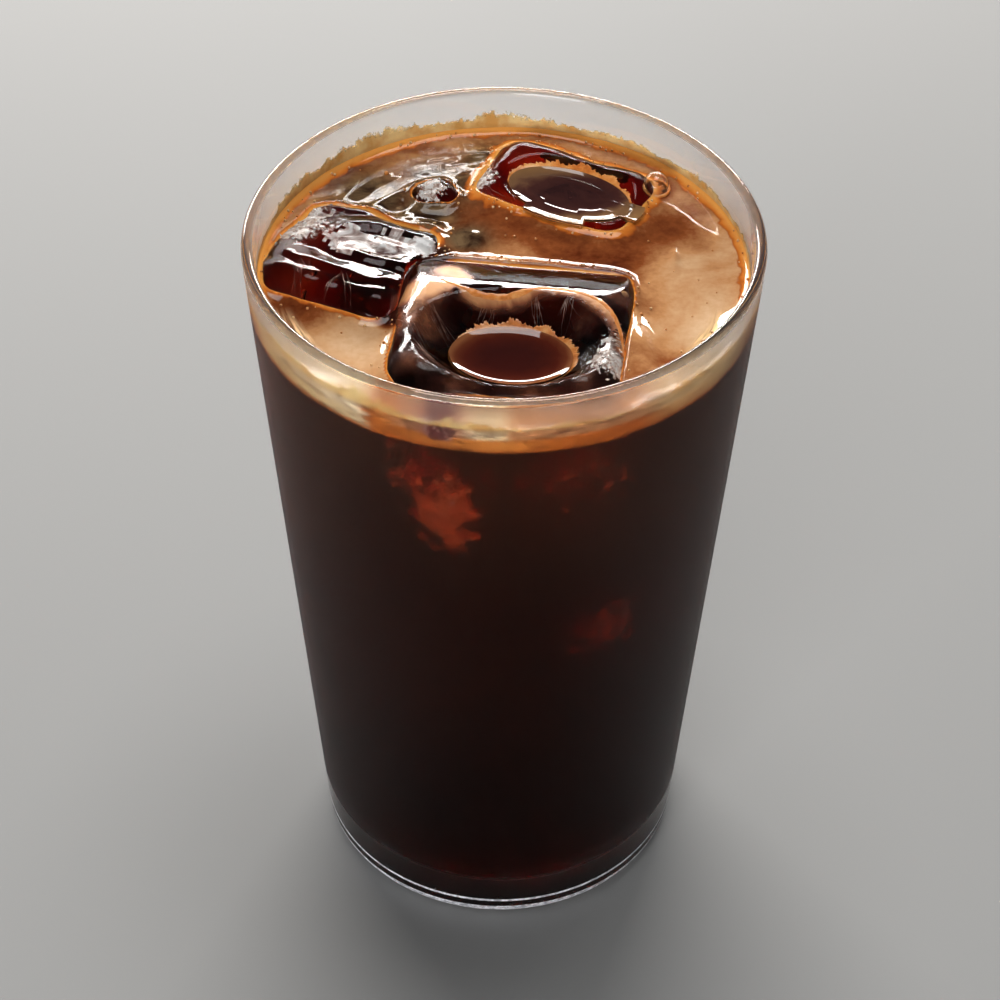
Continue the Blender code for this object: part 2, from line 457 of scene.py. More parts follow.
def iceForm(spec, cuts, grow=0.0):
    # a box cut into a fine net, pulled to rounded edges, hollowed and melted uneven, then put in place
    half = Vector(spec["size"]) * mm / 2
    big = half + Vector((grow, grow, grow))
    edge = spec["edge"] * mm + grow
    bm = bmesh.new()
    bmesh.ops.create_cube(bm, size=2)
    bmesh.ops.subdivide_edges(bm, edges=bm.edges[:], cuts=cuts, use_grid_fill=True)
    turn = Euler([radians(v) for v in (*spec["tilt"], spec["turn"])]).to_matrix().to_4x4()
    place = Matrix.Translation(Vector(spec["top"]) * mm) @ turn
    hollow = [v * mm for v in spec["hollow"]] if spec["hollow"] else None
    shift = Vector(spec["top"]) * mm
    for vert in bm.verts:
        flat = Vector([c * h for c, h in zip(vert.co, big)])
        core = Vector([max(edge - h, min(h - edge, c)) for c, h in zip(flat, big)])
        out = (flat - core).normalized()
        at = (flat + shift) / mm
        moved = core + out * (edge + uneven(at, *melted["waves"]) * mm)
        width = 1 - spec["draft"] * (big.z - flat.z) / (2 * big.z)
        moved.x *= width
        moved.y *= width
        lift = spec["lift"] * mm * max(0.0, moved.z / half.z) * moved.y / half.y
        if hollow and vert.co.z > 0:
            x, y = (moved.x - hollow[0]) / hollow[2], (moved.y - hollow[1]) / hollow[3]
            reach = x * x + y * y
            lift *= clamp((reach - 0.6) / 0.4)
            moved.z = min(moved.z, half.z - hollow[4] * smoothMax(1 - reach))
        if spec.get("fall") and vert.co.z > 0:  # the rim falls away behind the hollow
            crest, slope = spec["fall"]
            fallen = tan(radians(slope)) * smoothMax(moved.y / mm - crest, 2) * mm
            moved.z = min(moved.z, half.z + grow - fallen)
        if spec.get("swirl") and vert.co.z > 0.99:  # melted into low rings
            x, y, wide, high, wave = spec["swirl"]
            here = place @ (moved - Vector((0, 0, half.z))) / mm
            u, v = (here.x - x) / 1.9, here.y - y + 0.25 * (here.x - x)
            away = hypot(u, v) + 0.9 * noise.noise(here / 4)
            phase = 2 * pi * away / wave
            # the sides that face away are the longer ones
            phase += 0.6 * tanh(v / 1.5) * cos(phase)
            moved.z += high * mm * cos(phase) * exp(-(away / wide) ** 2)
        moved.z += lift
        co = clearOf(spec.get("beside"), place @ (moved - Vector((0, 0, half.z))), grow)
        keepIn(co, innerRadius(co.z) - 1.0 * mm + grow)  # worn to fit where it lies against the glass
        vert.co = co
    bmesh.ops.recalc_face_normals(bm, faces=bm.faces[:])
    return bm


def addVoid(bm, middle, size, turn):
    # a closed hollow inside the ice, such as a bubble or a thin crack, with its faces turned inward
    place = Matrix.Translation(middle) @ turn.to_matrix().to_4x4() @ Matrix.Diagonal((*size, 1))
    addBall(bm, place, 2, inward=True)


def nearSpots(piece, spots):
    # for each point, how far it lies inside one of the spots, from 0 to 1
    values = []
    for vert in piece.data.vertices:
        share = 0.0
        for middle, radius in spots:
            away = (vert.co / mm - Vector(middle)).length / radius
            share = max(share, 1.2 - away + 0.35 * noise.noise(vert.co / mm / 1.5))
        values.append(clamp(share * 1.8))
    return values


def frostMask(piece, spots):
    # how frosted each point is, from the places where the ice is rough
    frost = nearSpots(piece, spots)
    addValues(piece, "frost", frost)
    return frost


def iceMaterial():
    mat = clearMaterial("clearIce", 1.31, 0.9)
    frost = attribute(mat, "frost")
    crushed = times(mat, frost, noiseAt(mat, 1500, 5, 0.65, 1.5))
    feed(mat, "Roughness", times(mat, frost, 0.22))
    wet = bump(mat, noiseAt(mat, 260, 2, 0.5, 0.6), 0.10, 0.5 * mm)
    roughen(mat, crushed, 0.9, 0.6, wet)
    return mat


def frostMaterial(name, colours, scale, distortion):
    # ice that is white where a block is rough or full of air; it also makes the painted reflections on the
    # left block's top and the fibres, part of which are painted highlights
    mat = newMaterial(name, {"Roughness": 0.3, "IOR": 1.31, "Transmission Weight": 0.35, "Coat Weight": 0.5,
                             "Coat Roughness": 0.08})
    grain = noiseAt(mat, scale, 4, 0.6, distortion)
    tint(mat, grain, list(zip((0.36, 0.46, 0.58), colours)))
    roughen(mat, grain, 0.9, 0.5)
    return mat


def makeIce(name, spec, mat, frosted, glareIce):
    bm = iceForm(spec, 40)
    half = Vector(spec["size"]) * mm / 2
    turn = Euler((0, 0, radians(spec["turn"]))).to_matrix()
    top = Vector(spec["top"]) * mm
    hollow = spec["hollow"] or (0, 0, 1, 1, 0)
    for i in range(spec["cracks"]):  # thin upright cracks that hang down from the top
        side = between(-0.62, 0.62)
        back = between(0.25, 0.62)
        depth = between(0.30, 0.62) * half.z + hollow[4] * mm * 0.4
        middle = top + turn @ Vector((side * half.x, back * half.y, -depth))
        size = (between(0.03, 0.05) * mm, between(0.3, 1.2) * mm, between(1.2, 3.2) * mm)
        lean = Euler((between(-0.3, 0.3), between(-0.5, 0.5), between(0, 3.1)))
        addVoid(bm, middle, size, lean)
    for i in range(spec["bubbles"]):
        spot = Vector((between(-0.7, 0.7) * half.x, between(-0.7, 0.7) * half.y,
                       -between(0.5, 1.5) * half.z))
        size = between(0.10, 0.32) * mm
        addVoid(bm, top + turn @ spot, (size, size, size * between(1, 2.2)), Euler((0, 0, 0)))
    piece = finishPiece(name[:3] + name[4:].capitalize(), bm, mat, [name])
    piece.data.materials.append(frosted)
    piece.data.materials.append(glareIce)
    frost, paintedGlare = frostMask(piece, spec["frost"]), nearSpots(piece, spec.get("paintedGlare", []))
    for face in piece.data.polygons:
        ragged = uneven(face.center / mm, (1, 0.9), (0.6, 0.35))
        # slot 2 takes the painted reflections, slot 1 the frost
        for slot, mask in ((2, paintedGlare), (1, frost)):
            if sum(mask[v] for v in face.vertices) / len(face.vertices) + 0.5 * ragged > 0.62:
                face.material_index = slot


def makeSunkIce(name, spec, mat):
    piece = finishPiece(name, iceForm(spec, 24), mat)
    frostMask(piece, [])


# The drink

def coffeeMaterial():
    mat = newMaterial("coffeeLiquid", {
        "Transmission Weight": 0.955, "IOR": 1.33, "Roughness": 0.0, "Specular Tint": (0.05, 0.05, 0.05, 1)})
    # Painted light: the drink's colour runs from near black at the bottom to bright red brown at the top,
    # standing in for light that comes in from above through the ice; the rest is the drink's own cloudy red
    high = plus(mat, times(mat, axes(mat)["Z"], 8.0), swing(mat, 0.5, noiseAt(mat, 32, 2)))
    tint(mat, high, [(0.2, (0.22, 0.03, 0.015, 1)), (0.6, (0.5, 0.09, 0.03, 1)),
                     (0.95, (0.95, 0.36, 0.18, 1))])
    dark = addNode(mat, "ShaderNodeVolumeAbsorption", {"Color": (0.90, 0.50, 0.25, 1), "Density": 1500})
    output = mat.node_tree.nodes["Material Output"]
    wire(mat, dark.outputs[0], output.inputs["Volume"])
    return mat


def cutOut(piece, names, grow, cuts):
    # take the room of the ice out of a piece: the blocks without their hollows, which the pools fill
    rooms = []
    for name in names:
        spec = {**(iceBlocks.get(name) or sunkIce[name]), "hollow": None}
        rooms.append(newObject(name + "Room", iceForm(spec, cuts, grow)))
        cut = piece.modifiers.new(name, "BOOLEAN")
        cut.operation = "DIFFERENCE"
        cut.solver = "EXACT"
        cut.object = rooms[-1]
    bpy.context.view_layer.update()
    shown = piece.evaluated_get(bpy.context.evaluated_depsgraph_get())
    mesh = bpy.data.meshes.new_from_object(shown)
    piece.modifiers.clear()
    piece.data = mesh
    mesh.name = piece.name
    mesh.shade_smooth()
    mesh.set_sharp_from_angle(angle=radians(50))
    for room in rooms:
        bpy.data.objects.remove(room, do_unlink=True)


def makeCoffee():
    reach = drink["reach"]
    corner = tumbler["floorCorner"]
    cornerZ = tumbler["floor"] + corner
    top = drink["level"] - drink["crema"] + 0.8 * mm
    profile = [(0, tumbler["floor"] - 0.3 * mm), (15 * mm, tumbler["floor"] - 0.22 * mm)]
    profile += arc((innerRadius(cornerZ) - corner, cornerZ), corner + reach, -90, 0, 10)
    profile += [(innerRadius(z * mm) + reach, z * mm) for z in range(20, 116, 8)]
    profile += [(innerRadius(top) + reach * 0.9, top), (0, top)]
    coffee = finishPiece("coffeeBody", spun(profile, 144), coffeeMaterial(), ["coffee"])
    cutOut(coffee, [*iceBlocks, *sunkIce], -0.12 * mm, 20)


# Crema

crema = {
    "steps": 340,
    "rings": 92,
    "skirt": 17 * mm,  # how deep foam is drawn down round the front block
    # how much narrower the foam's rim is round each block
    "thinRings": {"ice_front": 2.8, "ice_chip": 3.2, "ice_left": 1.3, "ice_back": 0.62},
    # how pale the foam is: where, how wide and by how much, added to the plain tone
    "tone": 0.50,
    "tones": [(2.5, 11, 9, -0.04), (10, 3, 8, -0.14), (-5, 12, 7, -0.12), (18, 4, 6, -0.28),
              (29, -3, 12, 0.25), (28, -13, 8, 0.2), (-24, -18, 8, 0.42), (-32, -9, 5, -0.28),
              (18, -2, 4, -0.2), (22.5, -9, 3, -0.15), (27, -22.5, 2.6, -0.3), (31.5, 7, 2.2, -0.12),
              (33, 2.5, 1.4, -0.12), (26, 12, 5, -0.3), (-18, 26, 12, -0.2), (-37, -2, 4, -0.2),
              (24.7, 22.4, 1.9, -0.8)],
    # colours behind the glass in front, from left to right in mm: on the top beside the wall, on the side. In
    # both, the pale cream on the left is painted light, with a painted highlight at its near-white stop by
    # -20.5 mm
    "topBand": [(-40, (236, 194, 136)), (-20.5, (255, 240, 210)), (-19.6, (206, 120, 50)),
                (-17, (210, 136, 70)), (-14, (196, 144, 106)), (-11.4, (186, 128, 98)),
                (-6.6, (190, 140, 112)), (-3.6, (244, 226, 190)), (0.4, (240, 216, 176)),
                (1.6, (206, 152, 108)), (20, (212, 158, 114)), (24, (226, 192, 144)),
                (34, (238, 208, 160)), (40, (190, 126, 70))],
    "sideBand": [(-40, (206, 136, 70)), (-34, (238, 200, 142)), (-20.5, (248, 226, 186)),
                 (-19.6, (204, 118, 46)), (-10, (218, 138, 66)), (0, (238, 160, 80)),
                 (8, (222, 128, 50)), (20, (206, 112, 42)), (25, (226, 172, 112)),
                 (33, (238, 202, 148)), (40, (184, 102, 44))],
    # the foam from dark to pale, the side from the top down, and the foam drawn down round the front block
    "foam": [(0.0, (62, 22, 10)), (0.2, (104, 48, 20)), (0.38, (146, 84, 44)), (0.62, (200, 150, 104)),
             (0.95, (226, 194, 158))],
    "rich": [(0.0, (228, 160, 88)), (0.45, (190, 108, 44)), (0.8, (186, 98, 36)), (1.0, (222, 126, 46))],
    "pale": [(0.0, (244, 218, 176)), (0.6, (238, 196, 134)), (0.86, (226, 152, 74)), (1.0, (214, 118, 42))],
    "skirtColours": [(0.02, (250, 190, 120)), (0.14, (246, 170, 92)), (0.3, (232, 176, 122)),
                     (0.42, (196, 122, 70)), (0.55, (140, 62, 30)), (0.8, (110, 38, 18)),
                     (1.0, (70, 20, 10))],
    # swells that catch the window: where, half widths and height
    "swells": [(21.4, -27.0, 3.0, 8.5, 2.0), (20.6, -17.5, 2.0, 5.0, 1.0), (27, 4.5, 0.8, 3.0, 0.5)],
    # where the surface climbs the wall slowly: angle and spread in degrees, height and length in mm
    "banks": [(-26, 12, 2.1, 3.8), (-131, 8, 1.5, 4.2)],
    # where the foam is thin and the drink shows as a wet olive sheet
    "sheets": [(-22, 20, 8), (-13, 15, 6), (-11, 24, 7), (-6, 9, 4), (-3, 30, 5)],
    "glintSpot": (-9.3, 121.2, 2.7, 1.9),  # a painted spot of dark ice with painted glints, seen through the front: x, z and half widths in mm
}


def cremaTop(mat):
    # clouds of foam, thin places where the drink shows, and thicker foam along the waterlines
    clouds = swing(mat, 0.9, noiseAt(mat, 70, 5, 0.55, 0.8))
    fineClouds = swing(mat, 0.22, noiseAt(mat, 900, 3, 0.6, 0.3))
    tone = plus(mat, plus(mat, attribute(mat, "tone"), clouds), fineClouds)
    foam = ramp(mat, tone, crema["foam"])
    streaks = ramp(mat, noiseAt(mat, 240, 4, 0.6, 0.8), [(0.35, (62, 40, 26)), (0.6, (128, 104, 76))])
    edge = attribute(mat, "edge")
    rim = ramp(mat, edge, [(0.12, (168, 88, 36)), (0.4, (216, 132, 56)), (0.85, (244, 178, 96))])
    surface = mixColours(mat, attribute(mat, "sheet"), foam, streaks)
    return mixColours(mat, fade(mat, edge, 0.06, 0.22), surface, rim)


def frontBands(mat, depth, topColour, sideColour):
    # what shows through the front of the glass: bands of colour with ragged borders, scratches, and a painted
    # spot of dark ice with painted glints; the pale left of the bands is painted light with a painted
    # highlight
    side = axes(mat)["X"]
    ring = addNode(mat, "ShaderNodeCombineXYZ")
    wire(mat, times(mat, side, 120), ring.inputs[0])
    wire(mat, attribute(mat, "ring"), ring.inputs[1])

    def ringNoise(values):
        node = addNode(mat, "ShaderNodeTexNoise", values)
        wire(mat, ring.outputs[0], node.inputs["Vector"])
        return node.outputs["Fac"]

    wander = swing(mat, 0.10, ringNoise({"Scale": 1.1, "Detail": 5, "Roughness": 0.7}))
    across = plus(mat, plus(mat, times(mat, side, 12.5), 0.5), wander)
    topBand, sideBand = (ramp(mat, across, [(x / 80 + 0.5, colour) for x, colour in crema[name]])
                         for name in ("topBand", "sideBand"))
    orange = fade(mat, plus(mat, depth, times(mat, wander, 4)), 0.7, 0.92)
    sideBand = mixColours(mat, orange, sideBand, srgb(204, 112, 40))
    rubbed = ringNoise({"Scale": 2.2, "Detail": 4, "Roughness": 0.65, "Distortion": 0.4})
    scratches = ramp(mat, rubbed, [(0.41, (0.2, 0.1, 0.07, 1)), (0.46, (0.8, 0.74, 0.7, 1)),
                                   (0.52, (1, 1, 1, 1)), (0.6, (1.6, 1.5, 1.4, 1))])
    # painted glints: bright specks on dark purple brown, for an ice corner seen through the front
    sparkle = ramp(mat, noiseAt(mat, 1300, 3, 0.6, 1.5), [
        (0.45, (88, 36, 34)), (0.58, (150, 92, 88)), (0.66, (240, 200, 180))])
    glintSpot = fade(mat, plus(mat, attribute(mat, "glintSpot"), wander), 0.35, 0.55)
    front = attribute(mat, "front")
    done = []
    for colour, band, scratched in ((topColour, topBand, 0.8), (sideColour, sideBand, 0.45)):
        colour = mixColours(mat, front, colour, mixColours(mat, scratched, band, scratches, "MULTIPLY"))
        done.append(mixColours(mat, glintSpot, colour, sparkle))
    return done


def cremaMaterial():
    mat = newMaterial("cremaFoam", {
        "Roughness": 0.8, "Specular IOR Level": 0.0, "Coat Weight": 1.0, "Coat Roughness": 0.02,
        "Coat IOR": 1.36})
    depth = attribute(mat, "depth")
    rich, pale = (ramp(mat, depth, crema[name]) for name in ("rich", "pale"))
    paleShare = fade(mat, noiseAt(mat, 38, 3, 0.5, 0.3, (1, 1, 0.4)), 0.44, 0.56)
    topColour, sideColour = frontBands(mat, depth, cremaTop(mat), mixColours(mat, paleShare, rich, pale))
    skirt = attribute(mat, "skirt")
    inside = fade(mat, skirt, 0.0, 0.02)
    sideColour = mixColours(mat, inside, sideColour, ramp(mat, skirt, crema["skirtColours"]))
    feed(mat, "Base Color", mixColours(mat, fade(mat, depth, 0.02, 0.16), topColour, sideColour))
    wavy = bump(mat, noiseAt(mat, 160, 3, 0.5, 0.4), 0.10, 0.5 * mm)
    roughen(mat, noiseAt(mat, 2600, 2, 0.5), 0.08, 0.1, wavy)
    return mat


def iceTree(spec, cuts):
    bm = iceForm(spec, cuts)
    tree = BVHTree.FromBMesh(bm)
    bm.free()
    return tree


def toIce(trees, point):
    return min(tree.find_nearest(point)[3] for tree in trees.values())


def blobs(spots, x, y):
    return [exp(-((x - s[0]) ** 2 + (y - s[1]) ** 2) / s[2] ** 2) for s in spots]


def sheetAt(x, y):
    return min(1.0, 1.3 * max(blobs(crema["sheets"], x, y)))


def surfaceRise(trees, co, brim):
    # how far the crema's surface stands above its plain level: menisci, ripples and the wet sheet's waves
    x, y, z = co / mm
    fromWall = brim / mm - hypot(x, y)
    turn = atan2(y, x)
    rise = drink["meniscus"] * exp(-fromWall)
    for middle, spread, high, long in crema["banks"]:
        share = exp(-((degrees(turn) - middle) / spread) ** 2)
        rise += share * (high * mm * exp(-fromWall / long) - rise)
    near = toIce(trees, Vector((co.x, co.y, drink["level"])))
    rise += drink["iceMeniscus"] * exp(-near / (0.9 * mm))
    ripple = 0.10 * noiseOf(x / 8, y / 8, 0) + 0.02 * noiseOf(x / 2.2, y / 2.2, 5 / 2.2)
    r = hypot(x, y)
    wave = 1.5 * noiseOf(r / 3.2, turn * 3, 3) + 0.25 * noiseOf(r / 1.1, turn * 6, 8)
    swell = sum(high * exp(-((x - midX) / wide) ** 2 - ((y - midY) / deep) ** 2)
                for midX, midY, wide, deep, high in crema["swells"])
    return rise + (ripple + 0.34 * sheetAt(x, y) * wave + swell) * mm


def cremaForm(trees):
    level, thick = drink["level"], drink["crema"]
    reach = drink["reach"] + 0.08 * mm
    rings = crema["rings"]
    brim = innerRadius(level + drink["meniscus"]) + reach
    low = innerRadius(level - thick) + reach
    profile = [(low * i / rings, level - thick) for i in range(rings)]
    heights = [level - thick + drink["meniscus"] * 0.25 * k for k in range(12)]
    profile += [(innerRadius(z) + reach, z) for z in heights]
    profile += [(brim, level + drink["meniscus"])]
    profile += [(brim * (1 - i / rings), level) for i in range(1, rings)] + [(0, level)]
    bm = spun(profile, crema["steps"])
    for vert in bm.verts:
        at = vert.co / mm
        if vert.co.z > level - 0.01 * mm and reachOf(vert.co) < brim - 0.3 * mm:
            vert.co.z = level + surfaceRise(trees, vert.co, brim)
        elif vert.co.z < level - thick + 0.01 * mm:  # the lower edge wanders a little round the glass
            wander = 0.55 * noiseOf(at.x / 14, at.y / 14, 0) + 0.18 * noiseOf(at.x / 4, at.y / 4, 9 / 4)
            vert.co.z += wander * mm
            near = trees["ice_front"].find_nearest(vert.co)[3]
            deep = crema["skirt"] * (1 + 0.25 * noise.noise(at / 5)) * clamp((at.y + 26) / 8)
            vert.co.z -= deep * exp(-(near / (1.1 * mm)) ** 2)
    return bm


def cremaValues(trees, co):
    # what the material reads at a point of the crema
    level, thick = drink["level"], drink["crema"]
    at = co / mm
    r = reachOf(co)
    away = {name: tree.find_nearest(co)[3] for name, tree in trees.items()}
    toRing = min(away[name] * crema["thinRings"][name] for name in trees)
    near = min(toRing / (0.95 * mm), max(0.0, innerRadius(level) - r) / (1.7 * mm))
    fuzz = 1 + uneven(at, (0.5, 2.2), (0.25, 0.8))
    # dark between the two blocks that touch
    pinch = clamp(2 - (away["ice_front"] + away["ice_left"]) / mm / 2.0)
    amounts = blobs(crema["tones"], at.x, at.y)
    under = (level - 0.3 * mm - co.z) / crema["skirt"] if r < innerRadius(level) - 1.5 * mm else 0.0
    nearWall = r / mm - 33.5 - 0.5 * noise.noise(at / 2)
    # where the painted spot of dark ice with painted glints lies
    x, z, wide, high = crema["glintSpot"]
    ragged = 1 + 0.5 * noise.noise(at / 0.9)
    glintSpot = exp(-(((at.x - x) / wide) ** 2 + ((at.z - z) / high) ** 2) * ragged)
    return {
        "edge": max(0.0, 1 - near / max(0.3, fuzz)) * (1 - pinch),
        "depth": clamp((level - 0.1 * mm - co.z) / thick),
        "tone": crema["tone"] - 0.7 * pinch + sum(a * s[3] for a, s in zip(amounts, crema["tones"])),
        "sheet": sheetAt(at.x, at.y) if co.z > level - thick * 0.5 else 0.0,
        "skirt": clamp(under),
        "front": clamp(nearWall) * clamp((-at.y - 9) / 7),
        "ring": at.z - 0.9 * r / mm,
        "glintSpot": glintSpot if at.y < -25 else 0.0,
    }


def makeCrema(trees):
    piece = finishPiece("cremaLayer", cremaForm(trees), cremaMaterial(), ["crema"])
    cutOut(piece, iceBlocks, -0.10 * mm, 26)
    values = [cremaValues(trees, vert.co) for vert in piece.data.vertices]
    for label in values[0]:
        addValues(piece, label, [about[label] for about in values])


# Pools of drink in the hollows

# how far a pool's level lies under the top, its rise at the rim and its inner line in mm, and its foam,
# from one angle to another in degrees
pools = {
    "poolFront": {
        "ice": "ice_front", "node": "pool_front", "drop": 4.7, "rise": 0.5, "line": 0.0,
        "foam": "foamFront", "foamWide": 1.0, "foamFrom": 150, "foamTo": -15,
        "colours": [(0.2, (74, 24, 16)), (0.55, (96, 36, 20)), (0.8, (122, 62, 36)), (1.0, (160, 104, 66))],
    },
    "poolBack": {
        "ice": "ice_back", "node": "pool_back", "drop": 1.4, "rise": 0.4, "line": 0.16,
        "foam": "foamBack", "foamWide": 0.8, "foamFrom": 190, "foamTo": 20,
        "colours": [(0.1, (58, 28, 28)), (0.28, (84, 48, 42)), (0.42, (134, 100, 72)), (0.9, (154, 118, 76))],
    },
}
poolSteps = 96


def poolPlan(about, top):
    # the pool's level, and what gives the point of the ice at an angle and a share of the hollow's width
    spec = iceBlocks[about["ice"]]
    midX, midY, halfX, halfY, depth = [v * mm for v in spec["hollow"]]
    place = Matrix.Translation(Vector(spec["top"]) * mm) @ Matrix.Rotation(radians(spec["turn"]), 4, "Z")

    def probe(angle, share):
        x, y = midX + halfX * share * cos(angle), midY + halfY * share * sin(angle)
        spot = place @ Vector((x, y, 5 * mm))
        hit = top.ray_cast(spot, Vector((0, 0, -1)))[0]
        return spot.x, spot.y, hit.z if hit else spec["top"][2] * mm - 10 * mm
    return (spec["top"][2] - about["drop"]) * mm, probe, halfX, halfY


def poolRim(level, probe):
    # how far out the pool's edge lies, from the middle of its hollow, at each angle
    rim = []
    for i in range(poolSteps):
        low, high = 0.2, 1.05
        for step in range(14):
            share = (low + high) / 2
            z = probe(2 * pi * i / poolSteps, share)[2]
            low, high = (share, high) if z < level else (low, share)
        rim.append(low)
    return rim


def makePool(name, about, mat, plan, rim):
    level, probe, halfX, halfY = plan
    profile = [(i / 16, -1) for i in range(17)] + [(1 - i / 16, 1) for i in range(1, 17)]
    bm = spun([(r * mm, z * mm) for r, z in profile], poolSteps)
    for vert in bm.verts:
        share = reachOf(vert.co) / mm
        angle = atan2(vert.co.y, vert.co.x)
        wide = rim[round(angle / (2 * pi) * poolSteps) % poolSteps] * share * 1.006
        x, y, iceZ = probe(angle, wide)
        brim = level + about["rise"] * mm * exp(-(max(0.0, 1 - share) / 0.13) ** 1.3)
        brim += about["line"] * mm * exp(-((share - 0.66 - 0.05 * cos(2 * angle)) / 0.055) ** 2)
        vert.co = (x, y, iceZ - 0.12 * mm if vert.co.z < 0 and share < 0.99 else brim)
    turnOutward(bm)
    middle = sum((v.co for v in bm.verts), Vector()) / len(bm.verts)
    piece = finishPiece(name, bm, mat, [about["node"]], 60)
    away = [v.co - middle for v in piece.data.vertices]
    reaches = [hypot(at.x, at.y * halfX / halfY) for at in away]
    furthest = max(reaches)
    addValues(piece, "thin", [(reach / furthest) ** 3 for reach in reaches])


def poolMaterial(name, colours):
    # a few millimetres of drink over the ice: dark in the middle, red brown where it thins out
    mat = newMaterial(name + "Drink", {
        "Roughness": 0.04, "IOR": 1.33, "Coat Weight": 0.5, "Coat Roughness": 0.02})
    thin = plus(mat, attribute(mat, "thin"), times(mat, noiseAt(mat, 260, 3, 0.5, 0.8), 0.3))
    tint(mat, thin, colours)
    roughen(mat, noiseAt(mat, 180, 2), 0.08, 0.4)
    return mat


def foamMaterial():
    # the thicker orange foam that stays where a waterline was
    mat = newMaterial("ringFoam", {
        "Roughness": 0.35, "IOR": 1.36, "Coat Weight": 0.4, "Coat Roughness": 0.08})
    stops = [(0.3, (190, 108, 44)), (0.5, (222, 146, 76)), (0.72, (240, 186, 124))]
    tint(mat, noiseAt(mat, 420, 4, 0.6), stops)
    roughen(mat, noiseAt(mat, 1800, 3), 0.4, 0.15)
    return mat


def makeFoamRing(about, mat, plan, rim):
    # ragged foam along the back and left of a pool, wide there and run out to nothing in front
    level, probe, halfX, halfY = plan
    bm = ringTube(10, 1, 12, 480)
    middle = radians((about["foamFrom"] + about["foamTo"]) / 2)
    spread = radians((about["foamFrom"] - about["foamTo"]) / 2)
    for vert in bm.verts:
        angle = atan2(vert.co.y, vert.co.x)
        across = reachOf(vert.co) / mm - 10
        away = abs((angle - middle + pi) % (2 * pi) - pi) / spread
        full = max(0.05, min(1.0, (1.15 - away) * 2.2))
        teeth = 0.85 + 0.6 * noiseOf(angle * 4, 1, 2) + 0.45 * noiseOf(angle * 17, 4, 9)
        teeth += 0.4 * noiseOf(angle * 45, 3, 5)
        wide = about["foamWide"] * mm * full * (teeth if across > 0 else 0.55)
        place = angle / (2 * pi) * poolSteps
        low = floor(place)
        edge = rim[low % poolSteps] + (rim[(low + 1) % poolSteps] - rim[low % poolSteps]) * (place - low)
        length = hypot(halfX * cos(angle), halfY * sin(angle))
        x, y, iceZ = probe(angle, edge + (across * wide + 0.15 * mm) / length)
        thick = (0.05 + 0.16 * full) * mm
        vert.co = (x, y, max(iceZ, level + 0.1 * mm) + vert.co.z / mm * thick)
    turnOutward(bm)
    finishPiece(about["foam"], bm, mat)


# What lies on the ice: an orange line of foam behind the front hollow, a tan film, and pale fibres, some of
# which are painted highlights

foamLine = [(-11.0, -4.6), (-7.6, -7.0), (-4.3, -8.6), (1.1, -8.7), (6.5, -7.6), (11.6, -8.7), (15.4, -11.6),
            (17.6, -16), (18.2, -20.5)]

filmSpots = {  # where the tan film lies, how wide, and how much of it
    "spots": [(-15.2, -7.0, 3.0, 1.0), (-11.5, -8.2, 2.8, 1.0), (-8.6, -2.2, 2.6, 1.1), (-6.4, -5, 2.0, 0.8),
              (-16.8, -14, 3.4, 0.42), (-14, -24, 3.6, 0.40), (-7, -30, 4.5, 0.36), (4, -31.5, 5, 0.34),
              (13, -30.5, 4, 0.36), (18, -9, 3.2, 0.34), (-12, -15, 3.6, 0.42), (12.5, -14, 3.0, 0.34)],
    "drop": (-7.4, -8.6, 0.75),  # a clear drop in it
    "under": 2.6,  # how far it reaches in front of the orange line, in mm
    "area": (0.6, -15.5, 19.2, 16.5),  # the sheet's middle and half widths
}

# pale streaks in the ice; the lines low on the front block, at its hollow's left front and its right front,
# are painted highlights
fibresAndGlints = [  # the block, where they start, where they end, spread, how many
    ("ice_front", (-1.6, -8.6), (-3.4, -15.5), 0.9, 7),
    ("ice_front", (5.0, -8.2), (5.6, -15.0), 0.8, 7),
    ("ice_front", (10.2, -9.2), (9.2, -15.5), 1.0, 9),
    ("ice_front", (-15.8, -12), (-12.5, -20.5), 1.2, 12),
    ("ice_front", (-13.5, -19.5), (-7.5, -28.5), 1.0, 10),
    ("ice_front", (-11.5, -11.5), (-8.5, -18.5), 1.4, 8),
    ("ice_front", (12.5, -24.5), (6.5, -29.5), 1.2, 7),
    ("ice_left", (-31.5, -1), (-32.6, -8.5), 1.4, 10),
    ("ice_left", (-25, -4.0), (-26, -10.6), 1.8, 7),
    ("ice_back", (-4.5, 22), (1.5, 13.5), 1.0, 7),
]


def restOn(top, x, y, lift=0.0):
    # the point of the ice that is straight under x, y, raised along the ice's own slope
    spot, normal = top.ray_cast(Vector((x * mm, y * mm, 0.2)), Vector((0, 0, -1)))[:2]
    return spot + normal * lift * mm if spot else Vector((x * mm, y * mm, drink["level"] - 2 * mm))


def alongLine(points, share):
    # a point of a smooth line through the given ones, and its direction
    place = share * (len(points) - 1)
    i = min(int(place), len(points) - 2)
    t = place - i
    p = [Vector(points[max(0, min(len(points) - 1, i + k))]) for k in (-1, 0, 1, 2)]
    spot = 0.5 * (2 * p[1] + (p[2] - p[0]) * t + (2 * p[0] - 5 * p[1] + 4 * p[2] - p[3]) * t * t
                  + (3 * p[1] - p[0] - 3 * p[2] + p[3]) * t * t * t)
    return spot, (p[2] - p[1]).normalized()


